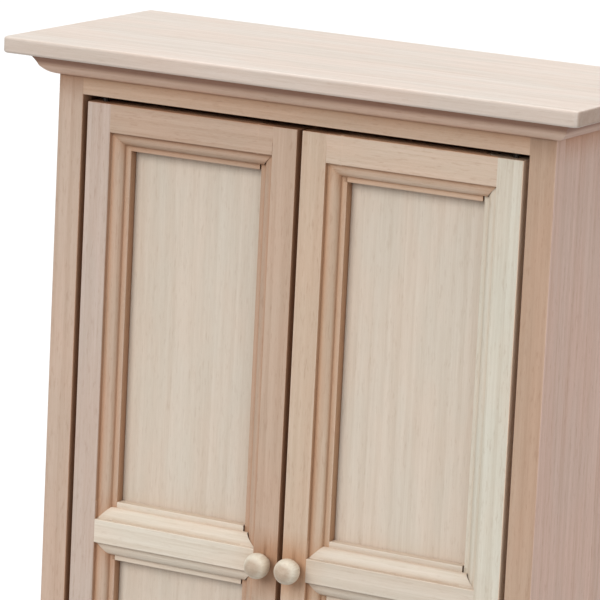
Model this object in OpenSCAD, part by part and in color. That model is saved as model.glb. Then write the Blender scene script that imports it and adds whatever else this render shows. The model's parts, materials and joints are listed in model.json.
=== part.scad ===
// Miniature wardrobe with two framed and panelled doors, an overhanging top and a moulded plinth.
// X runs across the front, Y from the front to the back, Z up.
// The origin is under the middle of the top board's footprint, on the surface it stands on.

/* [Case] */
// Width across the two side panels
case_w = 98; // [92:1:106]
// Height of the whole wardrobe
total_h = 176; // [168:1:184]
// Thickness of the side panels and of the floor
board_t = 3.2; // [2.8:0.1:3.6]
// Thickness of the back panel
back_t = 1.6; // [1.2:0.1:2]

/* [Top board] */
// Depth of the top board, which is flush with the back
top_d = 49.2; // [47:0.1:54]
// Thickness of the top board
top_t = 2.9; // [2.6:0.1:3.4]
// How far the top board stands out past each side
side_overhang = 7.3; // [6:0.1:8]
// How far the top board stands out past the front
front_overhang = 7.9; // [6.5:0.1:8.5]
// Radius of the top board's rounded edges
top_round = 0.7; // [0.3:0.1:1.2]
// Radius of the top board's two front corners, seen from above
top_corner = 1.2; // [0.8:0.1:3]

/* [Cornice and plinth] */
// Height of the cornice strip under the top board
cornice_h = 3.8; // [3:0.1:4.4]
// How far the cornice strip stands out from the case
cornice_out = 4.3; // [3.2:0.1:5.5]
// How far the cornice's nose stands out from the case
cornice_nose_out = 2.7; // [2:0.1:2.8]
// Height of the cornice's nose above the strip's foot
cornice_nose_h = 1.5; // [1.2:0.1:1.8]
// How far the curve under the nose swells out
cornice_belly = 0.3; // [0.1:0.05:0.4]
// How far the curve above the nose is hollowed
cornice_hollow = 0.15; // [0:0.05:0.3]
// Height of the plinth board
plinth_h = 7.6; // [6.5:0.1:8.4]
// How far the plinth stands out from the case
plinth_out = 3; // [2:0.1:4]
// Size of the rounded shoulder along the plinth's top edge
plinth_shoulder = 1.8; // [1:0.1:1.9]

/* [Face frame] */
// Width of the face stiles on each side of the doors
face_stile_w = 5; // [4.4:0.1:5.6]
// Thickness of the face frame
face_t = 3.2; // [3:0.1:3.6]
// Part of the top face rail that shows under the cornice
top_reveal = 3.1; // [2.6:0.1:3.8]
// Part of the bottom face rail that shows above the plinth
bottom_reveal = 3; // [2.4:0.1:3.8]

/* [Doors] */
// Thickness of the doors
door_t = 6.3; // [6:0.1:6.8]
// Gap around and between the doors
door_gap = 1.03; // [0.9:0.01:1.2]
// Flat width of the door stiles, beside their moulded edge
stile_flat = 4.8; // [4.4:0.1:5.4]
// Flat width of the top and bottom door rails
end_rail_flat = 5.1; // [4.4:0.1:5.6]
// Flat width of the rail at the middle of the door
mid_rail_flat = 4.3; // [3.8:0.1:5]
// How far the middle rail and the knobs sit below the middle of the door
mid_rail_drop = 0.4; // [0:0.1:1]
// Slack where the right-hand end of each rail fits over the stile's moulding
cope_gap = 0.3; // [0:0.05:0.4]

/* [Moulded edge of the door frames] */
// Depth of the square step beside the flat
quirk_d = 0.8; // [0.5:0.1:1]
// Width of the rounded moulding
ovolo_w = 2.2; // [2:0.1:2.6]
// Depth of the rounded moulding
ovolo_d = 1.4; // [1:0.1:1.6]
// Width of the narrow flat between the moulding and the panel
fillet_w = 1; // [0.8:0.1:1.4]
// Depth of the panel's face behind the door's face
panel_drop = 4.1; // [3.8:0.1:4.2]
// Thickness of the panels
panel_t = 1.4; // [1:0.1:1.4]
// How far the panels reach into the grooves
tongue = 1.2; // [0.8:0.1:1.6]

/* [Knobs and hinge pins] */
// Diameter of the turned knobs
knob_d = 4.6; // [4.4:0.1:5]
// Distance from the door's face to the middle of the knob
knob_reach = 2.6; // [2.6:0.05:3.4]
// Distance from the door's meeting edge to the knob's axis
knob_inset = 2.5; // [2.3:0.05:2.6]
// Diameter of the knob's neck and of its spigot
spigot_d = 2; // [1.6:0.1:2.4]
// Length of the spigot inside the stile
spigot_l = 4; // [3:0.1:5]
// Diameter of the hinge pins
pin_d = 1; // [0.8:0.1:1.2]
// Distance from the door's hinge edge to the pin's axis
pin_inset = 2.4; // [2.3:0.1:2.6]
// Distance from the door's face to the pin's axis
pin_setback = 2.2; // [1.9:0.1:2.2]
// Length of each hinge pin inside the door
pin_hold = 4; // [3:0.1:6]
// Length of each hinge pin inside the face rail
pin_reach = 2.3; // [1.6:0.1:2.4]
// Radial clearance of the hinge pins in the face rails
pin_clearance = 0.05; // [0.02:0.01:0.1]

/* [Inside] */
// Height of the hat shelf's top above the floor's top
shelf_height = 126; // [110:1:134]
// Thickness of the hat shelf
shelf_t = 2.4; // [2:0.1:3.2]
// Side of the square cleats under the hat shelf
cleat = 2.4; // [2:0.1:3.2]
// Diameter of the hanging rail
rod_d = 3.2; // [2.4:0.1:4]
// Distance from the hat shelf's underside to the hanging rail's axis
rod_drop = 9; // [7:0.5:14]
// Diameter of the sockets that hold the hanging rail
socket_d = 8; // [6:0.1:9]
// Thickness of the sockets
socket_t = 2.2; // [1.6:0.1:3]
// Width of the block that stops the doors
stop_w = 16; // [12:1:24]

/* [Hidden] */

$fn = 64;
// Overshoot of cutting shapes past the surface they cut
CUT = 1;
// Steps in the curve of a moulding
CURVE_STEPS = 12;

back_y = top_d / 2;
face_y = -top_d / 2 + front_overhang;
face_back_y = face_y + face_t;
inside_back_y = back_y - back_t;
top_under_z = total_h - top_t;
opening_top_z = top_under_z - cornice_h - top_reveal;
opening_bottom_z = plinth_h + bottom_reveal;
opening_w = case_w - 2 * face_stile_w;
inside_w = case_w - 2 * board_t;

door_w = (opening_w - 3 * door_gap) / 2;
door_bottom_z = opening_bottom_z + door_gap;
door_top_z = opening_top_z - door_gap;
// Height of the middle rail's centre line, which the knobs sit on
rail_mid_z = (door_bottom_z + door_top_z) / 2 - mid_rail_drop;
door_back_y = face_y + door_t;

moulding_w = ovolo_w + fillet_w;
fillet_d = quirk_d + ovolo_d;
pin_y = face_y + pin_setback;
// Depth of the blind holes in the face rails, a little deeper than the pins reach
pin_hole_l = door_gap + pin_reach + 0.3;

shelf_top_z = opening_bottom_z + shelf_height;
// The shelf stays clear of the doors' hinge corners as they swing
shelf_front_y = face_y + door_t + 2.2;
rod_y = (door_back_y + inside_back_y) / 2;
rod_z = shelf_top_z - shelf_t - rod_drop;
// The stop reaches this far below the top of the doors
stop_lap = 3;
stop_t = 2.4;

// ---- shared shapes ----

// Block between two opposite corners
module block(low, high) {
  translate(low) cube(high - low);
}

// A prism along X whose outline is drawn as [distance along Y, height along Z]
module along_x(x0, x1) {
  translate([x0, 0, 0]) rotate([90, 0, 90]) linear_extrude(height = x1 - x0) children();
}

// A prism along Y whose outline is drawn as [distance along X, height along Z]
module along_y(y0, y1) {
  translate([0, y1, 0]) rotate([90, 0, 0]) linear_extrude(height = y1 - y0) children();
}

// A prism standing on z0 and ending at z1, whose outline is drawn in plan
module upright(z0, z1) {
  translate([0, 0, z0]) linear_extrude(height = z1 - z0) children();
}

// The plan of a strip wrapped round the front of the case, mitred at the corner
module front_strip_plan(out) {
  half = case_w / 2;
  polygon([[-half, face_y], [half, face_y], [half + out, face_y - out], [-half - out, face_y - out]]);
}

// The plan of the strip along the right-hand side of the case, mitred at the front corner
module side_strip_plan(out) {
  half = case_w / 2;
  polygon([[half, face_y], [half, back_y], [half + out, back_y], [half + out, face_y - out]]);
}

// The point at share t of the run from a to b, pushed out to its right by a bow of the given depth
function bowed(a, b, depth, t) =
  let (run = b - a, side = [run[1], -run[0]] / norm(run))
  a + t * run + depth * sin(180 * t) * side;

// The cornice's outline from the wall outwards: a swelling curve up to a nose, then a shallow hollow
module cornice_outline() {
  nose = [cornice_nose_out, cornice_nose_h];
  rim = [cornice_out, cornice_h];
  belly = [for (i = [0:CURVE_STEPS]) bowed([0, 0], nose, cornice_belly, i / CURVE_STEPS)];
  hollow = [for (i = [1:CURVE_STEPS]) bowed(nose, rim, -cornice_hollow, i / CURVE_STEPS)];
  polygon(concat([[0, cornice_h]], belly, hollow));
}

// The plinth's outline from the wall outwards: a flat board with a rounded shoulder
module plinth_outline() {
  shoulder = [for (i = [0:CURVE_STEPS]) let (a = 90 * i / CURVE_STEPS)
    [plinth_out - plinth_shoulder * (1 - cos(a)), plinth_h - plinth_shoulder * (1 - sin(a))]];
  polygon(concat([[0, 0], [plinth_out, 0]], shoulder, [[0, plinth_h]]));
}

// The front run of a moulding with the given outline
module front_run(z0, height, out) {
  intersection() {
    upright(z0, z0 + height) front_strip_plan(out);
    along_x(-case_w / 2 - out - CUT, case_w / 2 + out + CUT)
      translate([face_y, z0]) mirror([1, 0]) children();
  }
}

// The right-hand return of a moulding with the given outline
module side_run(z0, height, out) {
  intersection() {
    upright(z0, z0 + height) side_strip_plan(out);
    along_y(face_y - out - CUT, back_y + CUT) translate([case_w / 2, z0]) children();
  }
}

// ---- top and mouldings ----

// A rectangle with rounded corners, with its lower left corner at the origin
module rounded_rectangle(length, height, r) {
  translate([r, 0]) square([length - 2 * r, height]);
  translate([0, r]) square([length, height - 2 * r]);
  for (x = [r, length - r], y = [r, height - r])
    translate([x, y]) circle(r);
}

// The top board is rounded along its front and both ends, and square along its back
module top_board() {
  top_w = case_w + 2 * side_overhang;
  color("antiquewhite") translate([0, 0, top_under_z]) intersection() {
    along_y(-top_d / 2, back_y) translate([-top_w / 2, 0]) rounded_rectangle(top_w, top_t, top_round);
    along_x(-top_w / 2, top_w / 2) translate([-top_d / 2, 0])
      rounded_rectangle(top_d + 2 * top_round, top_t, top_round);
    upright(0, top_t) translate([-top_w / 2, -top_d / 2])
      rounded_rectangle(top_w, top_d + 2 * top_corner, top_corner);
  }
}

module cornice_front() {
  color("tan") front_run(top_under_z - cornice_h, cornice_h, cornice_out) cornice_outline();
}

module cornice_right() {
  color("rosybrown") side_run(top_under_z - cornice_h, cornice_h, cornice_out) cornice_outline();
}

module cornice_left() {
  mirror([1, 0, 0]) cornice_right();
}

module plinth_front() {
  color("tan") front_run(0, plinth_h, plinth_out) plinth_outline();
}

module plinth_right() {
  color("rosybrown") side_run(0, plinth_h, plinth_out) plinth_outline();
}

module plinth_left() {
  mirror([1, 0, 0]) plinth_right();
}

// ---- case ----

module side_panel_right() {
  color("rosybrown")
    block([case_w / 2 - board_t, face_back_y, 0], [case_w / 2, back_y, top_under_z]);
}

module side_panel_left() {
  mirror([1, 0, 0]) side_panel_right();
}

module back_panel() {
  color("burlywood")
    block([-inside_w / 2, inside_back_y, opening_bottom_z - board_t], [inside_w / 2, back_y, top_under_z]);
}

module floor_board() {
  color("burlywood")
    block([-inside_w / 2, face_back_y, opening_bottom_z - board_t],
          [inside_w / 2, inside_back_y, opening_bottom_z]);
}

module face_stile_right() {
  color("tan")
    block([opening_w / 2, face_y, 0], [case_w / 2, face_back_y, top_under_z]);
}

module face_stile_left() {
  mirror([1, 0, 0]) face_stile_right();
}

// Distance of each hinge pin's axis from the middle of the case
function pin_x() = opening_w / 2 - door_gap - pin_inset;

// The two running holes for the hinge pins, from z0 up
module pin_holes(z0) {
  for (side = [-1, 1])
    translate([side * pin_x(), pin_y, z0])
      cylinder(h = pin_hole_l, r = pin_d / 2 + pin_clearance);
}

module face_rail_top() {
  color("tan") difference() {
    block([-opening_w / 2, face_y, opening_top_z], [opening_w / 2, face_back_y, top_under_z]);
    pin_holes(opening_top_z - door_gap);
  }
}

module face_rail_bottom() {
  color("tan") difference() {
    block([-opening_w / 2, face_y, 0], [opening_w / 2, face_back_y, opening_bottom_z]);
    pin_holes(opening_bottom_z + door_gap - pin_hole_l);
  }
}

// ---- inside ----

module hat_shelf() {
  color("burlywood")
    block([-inside_w / 2, shelf_front_y, shelf_top_z - shelf_t],
          [inside_w / 2, inside_back_y, shelf_top_z]);
}

module shelf_cleat_right() {
  color("burlywood")
    block([inside_w / 2 - cleat, shelf_front_y + cleat, shelf_top_z - shelf_t - cleat],
          [inside_w / 2, inside_back_y, shelf_top_z - shelf_t]);
}

module shelf_cleat_left() {
  mirror([1, 0, 0]) shelf_cleat_right();
}

// A dowel that reaches through both sockets to the side panels
module hanging_rail() {
  color("wheat")
    translate([-inside_w / 2, rod_y, rod_z]) rotate([0, 90, 0]) cylinder(h = inside_w, d = rod_d);
}

module rail_socket_right() {
  color("tan")
    translate([inside_w / 2 - socket_t, rod_y, rod_z]) rotate([0, 90, 0]) difference() {
      cylinder(h = socket_t, d = socket_d);
      translate([0, 0, -CUT]) cylinder(h = socket_t + 2 * CUT, d = rod_d);
    }
}

module rail_socket_left() {
  mirror([1, 0, 0]) rail_socket_right();
}

// A block under the top board that the doors' meeting stiles close against
module door_stop() {
  color("burlywood")
    block([-stop_w / 2, door_back_y, door_top_z - stop_lap], [stop_w / 2, door_back_y + stop_t, top_under_z]);
}

// ---- doors ----
// Each door is drawn as the left-hand one, from x = 0 at its left edge. Depth runs back from its face.

// Moulded edge: from the flat at the given distance, outwards to the panel groove, then the back
function moulded_edge(flat) = concat(
  [[flat, 0]],
  [for (i = [0:CURVE_STEPS]) let (a = 90 * i / CURVE_STEPS)
    [flat + ovolo_w * sin(a), quirk_d + ovolo_d * (1 - cos(a))]],
  [
    [flat + moulding_w, fillet_d],
    [flat + moulding_w, panel_drop],
    [flat + moulding_w - tongue, panel_drop],
    [flat + moulding_w - tongue, panel_drop + panel_t],
    [flat + moulding_w, panel_drop + panel_t],
    [flat + moulding_w, door_t]
  ]
);

// Cross-section with one plain edge at 0 and one moulded edge
module one_edge_outline(flat) {
  polygon(concat([[0, 0]], moulded_edge(flat), [[0, door_t]]));
}

// Plan of the left stile, and of the right one by mirroring it
module stile_plan() {
  translate([0, face_y]) one_edge_outline(stile_flat);
}

module right_stile_plan() {
  translate([door_w, 0]) mirror([1, 0]) stile_plan();
}

module left_stile() {
  upright(door_bottom_z, door_top_z) stile_plan();
}

module right_stile() {
  upright(door_bottom_z, door_top_z) right_stile_plan();
}

// What is cut off the ends of a rail: both stiles, and the slack behind the right-hand stile's step
module cope_plan() {
  stile_plan();
  right_stile_plan();
  intersection() {
    translate([-cope_gap, 0]) right_stile_plan();
    translate([0, face_y + quirk_d]) square([door_w, door_t]);
  }
}

// Cuts the ends of a rail to fit over the stiles' moulded edges
module coped_between(z0, z1) {
  difference() {
    children();
    upright(z0 - CUT, z1 + CUT) cope_plan();
  }
}

// A rail whose plain edge is at plain_z and whose moulded edge is above it, or below it if facing_down
module half_rail(plain_z, flat, facing_down) {
  reach = flat + moulding_w;
  coped_between(plain_z - reach, plain_z + reach)
    translate([0, face_y, plain_z]) along_x(stile_flat, door_w - stile_flat)
      mirror([0, facing_down ? 1 : 0]) mirror([1, -1]) one_edge_outline(flat);
}

module top_rail() {
  half_rail(door_top_z, end_rail_flat, true);
}

module bottom_rail() {
  half_rail(door_bottom_z, end_rail_flat, false);
}

module mid_rail() {
  half_rail(rail_mid_z, mid_rail_flat / 2, true);
  half_rail(rail_mid_z, mid_rail_flat / 2, false);
}

// A panel whose edges sit in the grooves, between the two given heights of the opening
module panel(z0, z1) {
  edge = stile_flat + moulding_w - tongue;
  block([edge, face_y + panel_drop, z0 - tongue],
        [door_w - edge, face_y + panel_drop + panel_t, z1 + tongue]);
}

module upper_panel() {
  panel(rail_mid_z + mid_rail_flat / 2 + moulding_w, door_top_z - end_rail_flat - moulding_w);
}

module lower_panel() {
  panel(door_bottom_z + end_rail_flat + moulding_w, rail_mid_z - mid_rail_flat / 2 - moulding_w);
}

// Blind hole for the knob's spigot, at distance x from the door's left edge
module knob_hole(x) {
  translate([x, face_y - CUT, rail_mid_z]) rotate([-90, 0, 0]) cylinder(h = spigot_l + CUT, d = spigot_d);
}

// Blind holes for the two hinge pins, at distance x from the door's left edge
module door_pin_holes(x) {
  for (z = [door_bottom_z - CUT, door_top_z - pin_hold])
    translate([x, pin_y, z]) cylinder(h = pin_hold + CUT, d = pin_d);
}

// Turned ball on a short neck, with a spigot behind it
module knob(x) {
  translate([x, face_y, rail_mid_z]) rotate([90, 0, 0]) rotate_extrude() intersection() {
    union() {
      translate([0, knob_reach]) circle(d = knob_d);
      translate([0, -spigot_l]) square([spigot_d / 2, spigot_l + knob_reach]);
    }
    translate([0, -spigot_l]) square([knob_d, spigot_l + knob_reach + knob_d]);
  }
}

module top_pin(x) {
  translate([x, pin_y, door_top_z - pin_hold])
    cylinder(h = pin_hold + door_gap + pin_reach, d = pin_d);
}

module bottom_pin(x) {
  translate([x, pin_y, door_bottom_z - door_gap - pin_reach])
    cylinder(h = pin_hold + door_gap + pin_reach, d = pin_d);
}

// Moves a door drawn from x = 0 to the left-hand or right-hand half of the opening
module on_left() {
  translate([-opening_w / 2 + door_gap, 0, 0]) children();
}

module on_right() {
  translate([door_gap / 2, 0, 0]) children();
}

module hinge_stile_left_door() {
  color("tan") on_left() difference() {
    left_stile();
    door_pin_holes(pin_inset);
  }
}

module meeting_stile_left_door() {
  color("tan") on_left() difference() {
    right_stile();
    knob_hole(door_w - knob_inset);
  }
}

module meeting_stile_right_door() {
  color("tan") on_right() difference() {
    left_stile();
    knob_hole(knob_inset);
  }
}

module hinge_stile_right_door() {
  color("wheat") on_right() difference() {
    right_stile();
    door_pin_holes(door_w - pin_inset);
  }
}

// ---- nodes ----

top_board();
cornice_front();
cornice_left();
cornice_right();
side_panel_left();
side_panel_right();
back_panel();
floor_board();
face_stile_left();
face_stile_right();
face_rail_top();
face_rail_bottom();
plinth_front();
plinth_left();
plinth_right();
hat_shelf();
shelf_cleat_left();
shelf_cleat_right();
hanging_rail();
rail_socket_left();
rail_socket_right();
door_stop();

hinge_stile_left_door();  // left_door_hinge_stile
meeting_stile_left_door();  // left_door_meeting_stile
color("burlywood") on_left() top_rail();  // left_door_top_rail
color("wheat") on_left() mid_rail();  // left_door_mid_rail
color("burlywood") on_left() bottom_rail();  // left_door_bottom_rail
color("bisque") on_left() upper_panel();  // left_door_upper_panel
color("bisque") on_left() lower_panel();  // left_door_lower_panel
color("linen") on_left() knob(door_w - knob_inset);  // left_door_knob
color("gold") on_left() top_pin(pin_inset);  // left_door_top_pin
color("gold") on_left() bottom_pin(pin_inset);  // left_door_bottom_pin

hinge_stile_right_door();  // right_door_hinge_stile
meeting_stile_right_door();  // right_door_meeting_stile
color("burlywood") on_right() top_rail();  // right_door_top_rail
color("wheat") on_right() mid_rail();  // right_door_mid_rail
color("burlywood") on_right() bottom_rail();  // right_door_bottom_rail
color("antiquewhite") on_right() upper_panel();  // right_door_upper_panel
color("antiquewhite") on_right() lower_panel();  // right_door_lower_panel
color("linen") on_right() knob(knob_inset);  // right_door_knob
color("gold") on_right() top_pin(door_w - pin_inset);  // right_door_top_pin
color("gold") on_right() bottom_pin(door_w - pin_inset);  // right_door_bottom_pin
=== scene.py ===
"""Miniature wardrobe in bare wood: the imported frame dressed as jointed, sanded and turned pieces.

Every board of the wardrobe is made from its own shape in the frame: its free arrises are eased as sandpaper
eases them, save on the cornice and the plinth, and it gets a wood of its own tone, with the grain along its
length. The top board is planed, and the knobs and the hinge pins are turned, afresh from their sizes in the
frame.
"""

from __future__ import annotations

import json
import logging
import math
import random
from dataclasses import dataclass, field, replace
from enum import Enum

import bmesh
import bpy
from mathutils import Matrix, Vector
from mathutils.bvhtree import BVHTree


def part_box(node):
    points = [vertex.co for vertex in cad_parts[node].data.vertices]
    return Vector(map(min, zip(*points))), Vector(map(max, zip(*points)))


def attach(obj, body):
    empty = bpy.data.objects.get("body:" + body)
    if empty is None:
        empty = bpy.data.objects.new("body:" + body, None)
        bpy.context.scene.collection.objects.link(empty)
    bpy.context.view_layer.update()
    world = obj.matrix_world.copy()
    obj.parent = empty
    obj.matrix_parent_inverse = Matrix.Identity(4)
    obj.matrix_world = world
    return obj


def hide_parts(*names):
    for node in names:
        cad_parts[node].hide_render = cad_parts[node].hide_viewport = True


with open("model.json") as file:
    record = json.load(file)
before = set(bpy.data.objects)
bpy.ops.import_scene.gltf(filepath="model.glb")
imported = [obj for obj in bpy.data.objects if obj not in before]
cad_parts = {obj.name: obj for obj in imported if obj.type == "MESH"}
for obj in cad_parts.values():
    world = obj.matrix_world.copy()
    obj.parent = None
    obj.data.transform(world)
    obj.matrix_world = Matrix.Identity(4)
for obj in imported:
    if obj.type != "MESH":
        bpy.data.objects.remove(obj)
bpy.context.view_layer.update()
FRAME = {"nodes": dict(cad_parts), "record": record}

LOG = logging.getLogger("wardrobe")
MM = 0.001
Colour = tuple[float, float, float]
Stretch = tuple[float, float, float]
Outline = list[tuple[float, float]]


# --------------------------------------------------------------------------- small helpers


def body_of(node: str) -> str:
    """Find the body that carries a node.

    Args:
        node: name of a node in the frame.

    Returns:
        The body's name.
    """
    for body, members in FRAME["record"]["behaviour"]["bodies"].items():
        if node in members:
            return body
    raise KeyError(node)


def shade_by_angle(mesh: bpy.types.Mesh, angle: float) -> None:
    """Shade a mesh smooth, but keep creases sharper than an angle.

    Args:
        mesh: the mesh to shade.
        angle: the sharpest smooth crease, in radians.
    """
    mesh.polygons.foreach_set("use_smooth", [True] * len(mesh.polygons))
    mesh.set_sharp_from_angle(angle=angle)


# --------------------------------------------------------------------------- shader building blocks


class Wiring:
    """Adds nodes to a node tree and links them, in one call each."""

    def __init__(self, tree: bpy.types.NodeTree) -> None:
        """Start on an empty tree.

        Args:
            tree: the node tree to fill.
        """
        self.tree = tree
        tree.nodes.clear()

    def add(self, kind: str, settings: dict | None = None, **inputs: object) -> bpy.types.Node:
        """Add a node, set its properties, and set or link its inputs.

        Args:
            kind: the node's type name, without the leading "ShaderNode".
            settings: properties of the node, by name.
            inputs: values or output sockets, by input name, with "_" for a space.

        Returns:
            The new node.
        """
        full = kind if kind.startswith("Node") else "ShaderNode" + kind
        node = self.tree.nodes.new(full)
        for name, value in (settings or {}).items():
            setattr(node, name, value)
        for name, value in inputs.items():
            self.feed(node, name.replace("_", " "), value)
        return node

    def feed(self, node: bpy.types.Node, name: str | int, value: object) -> None:
        """Set an input to a value, or link it to an output socket.

        Args:
            node: the node that holds the input.
            name: the input's name or index.
            value: a number, a tuple or an output socket.
        """
        socket = node.inputs[name]
        if isinstance(value, bpy.types.NodeSocket):
            self.tree.links.new(value, socket)
        elif isinstance(value, tuple) and socket.type == "RGBA" and len(value) == 3:
            socket.default_value = (*value, 1.0)
        else:
            socket.default_value = value

    def math(self, operation: str, first: object, second: object = 0.0, clamp: bool = False) -> object:
        """Add a Math node.

        Args:
            operation: the node's operation.
            first: number or socket.
            second: number or socket.
            clamp: whether the result stays between 0 and 1.

        Returns:
            The node's output socket.
        """
        node = self.add("Math", {"operation": operation, "use_clamp": clamp})
        self.feed(node, 0, first)
        self.feed(node, 1, second)
        return node.outputs[0]

    def mix(self, blend: str, factor: object, first: object, second: object) -> object:
        """Add a colour Mix node.

        Args:
            blend: the node's blend type.
            factor: number or socket.
            first: colour or socket under the blend.
            second: colour or socket over it.

        Returns:
            The colour output socket.
        """
        node = self.add("Mix", {"data_type": "RGBA", "blend_type": blend, "clamp_factor": True})
        self.feed(node, 0, factor)
        self.feed(node, 6, first)
        self.feed(node, 7, second)
        return node.outputs[2]

    def stretch(self, vector: object, scale: Stretch) -> object:
        """Scale a vector along its three axes.

        Args:
            vector: socket that gives the vector.
            scale: factor along each axis.

        Returns:
            The scaled vector's socket.
        """
        node = self.add("VectorMath", {"operation": "MULTIPLY"})
        self.feed(node, 0, vector)
        self.feed(node, 1, scale)
        return node.outputs[0]

    def ramp(
        self,
        value: object,
        low: float,
        high: float,
        to_low: float = 0.0,
        to_high: float = 1.0,
        easing: str = "SMOOTHSTEP",
    ) -> object:
        """Map a range of values on to another.

        Args:
            value: socket to map.
            low: value that gives to_low.
            high: value that gives to_high.
            to_low: result at and below low.
            to_high: result at and above high.
            easing: the node's interpolation type.

        Returns:
            The mapped value's socket.
        """
        node = self.add("MapRange", {"interpolation_type": easing})
        for index, number in enumerate((value, low, high, to_low, to_high)):
            self.feed(node, index, number)
        return node.outputs[0]


def new_group(
    name: str, inputs: list[tuple[str, str, object]], outputs: list[tuple[str, str]]
) -> tuple[bpy.types.NodeTree, Wiring, bpy.types.Node, bpy.types.Node]:
    """Make a shader node group with named sockets.

    Args:
        name: the group's name.
        inputs: (name, socket type, default) for each input.
        outputs: (name, socket type) for each output.

    Returns:
        The group, its wiring, its input node and its output node.
    """
    tree = bpy.data.node_groups.new(name, "ShaderNodeTree")
    for label, kind, default in inputs:
        socket = tree.interface.new_socket(name=label, in_out="INPUT", socket_type=kind)
        if default is not None:
            socket.default_value = default
    for label, kind in outputs:
        tree.interface.new_socket(name=label, in_out="OUTPUT", socket_type=kind)
    wiring = Wiring(tree)
    return tree, wiring, wiring.add("NodeGroupInput"), wiring.add("NodeGroupOutput")


# --------------------------------------------------------------------------- finishes


class Grain(Enum):
    """The direction that a board's grain runs in, as the turn that lays it along the pattern's own Z."""

    ALONG_X = (0.0, math.radians(90), 0.0)
    ALONG_Y = (math.radians(90), 0.0, 0.0)
    ALONG_Z = (0.0, 0.0, 0.0)


class Woods(Enum):
    """The boards' own colours, each named after its tone or after the piece that shows it."""

    # CHALK is no board's own colour: it is light painted on the right door's hinge stile where it faces
    # right, into the gap.
    CHALK = (0.800, 0.680, 0.560)
    TOP = (0.585, 0.520, 0.469)
    CREAM = (0.560, 0.499, 0.421)
    BUFF = (0.510, 0.455, 0.385)
    IVORY = (0.510, 0.477, 0.405)
    PANEL = (0.507, 0.442, 0.371)
    KNOB = (0.590, 0.550, 0.465)
    ROSE = (0.435, 0.350, 0.299)
    HAZEL = (0.415, 0.304, 0.230)
    FAWN = (0.462, 0.353, 0.267)
    HONEY = (0.500, 0.390, 0.305)
    BLUSH = (0.620, 0.460, 0.370)
    OAT = (0.437, 0.329, 0.260)
    UMBER = (0.389, 0.270, 0.195)
    # SIDE is the side boards' own tone. It is also painted as light on the right face stile's faces to the
    # right.
    SIDE = (0.546, 0.396, 0.333)
    INSIDE = (0.500, 0.400, 0.300)

    def early(self) -> Colour:
        """Give the paler colour of the wood that grows early in a season."""
        return tuple(part * share for part, share in zip(self.value, Tints.EARLY.value))

    def late(self) -> Colour:
        """Give the darker, redder colour of the wood that grows late in a season."""
        return tuple(part * share for part, share in zip(self.value, Tints.LATE.value))


class Tints(Enum):
    """What a board's own colour is multiplied by where the wood grows differently or shows end grain, and
    where light or shade is painted on it.
    """

    EARLY = (1.08, 1.08, 1.08)
    LATE = (0.86, 0.80, 0.74)
    WARM_CAST = (1.05, 0.985, 0.955)
    COOL_CAST = (0.965, 1.01, 1.02)
    FLECK = (0.66, 0.54, 0.46)
    # End grain's own darker tone, also used as painted shade on faces to the front.
    END_GRAIN_AND_FRONT_SHADE = (0.66, 0.57, 0.52)
    # Painted shade: near neighbours, in corners and in slits.
    SHELTER_SHADE = (0.88, 0.68, 0.53)
    CORNER_SHADE = (0.34, 0.17, 0.09)
    SLIT_SHADE = (0.20, 0.11, 0.08)
    # Painted shadow of the top board on the cornice's upper part.
    SLAB_SHADOW = (0.52, 0.42, 0.38)
    # Painted shade on a moulding where it lies deep behind the board's face.
    RECESS_SHADE = (1.0, 0.92, 0.82)


@dataclass(frozen=True)
class Figure:
    """One layer of a wood's figure: noise that is drawn out along the grain.

    Across and along are its pitch, per millimetre. Low and high are the noise values between which it shows.
    """

    across: float
    along: float
    detail: float
    roughness: float
    low: float
    high: float

    def draw(self, w: Wiring, place: bpy.types.NodeSocket) -> object:
        """Draw the layer.

        Args:
            w: the wiring of the tree that it belongs to.
            place: coordinates in millimetres, with the grain along Z.

        Returns:
            A socket that is 0 where the layer is absent and 1 where it is full.
        """
        noise = w.add(
            "TexNoise",
            Vector=w.stretch(place, (self.across, self.across, self.along)),
            Scale=1.0,
            Detail=self.detail,
            Roughness=self.roughness,
        )
        return w.ramp(noise.outputs["Fac"], self.low, self.high)


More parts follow.
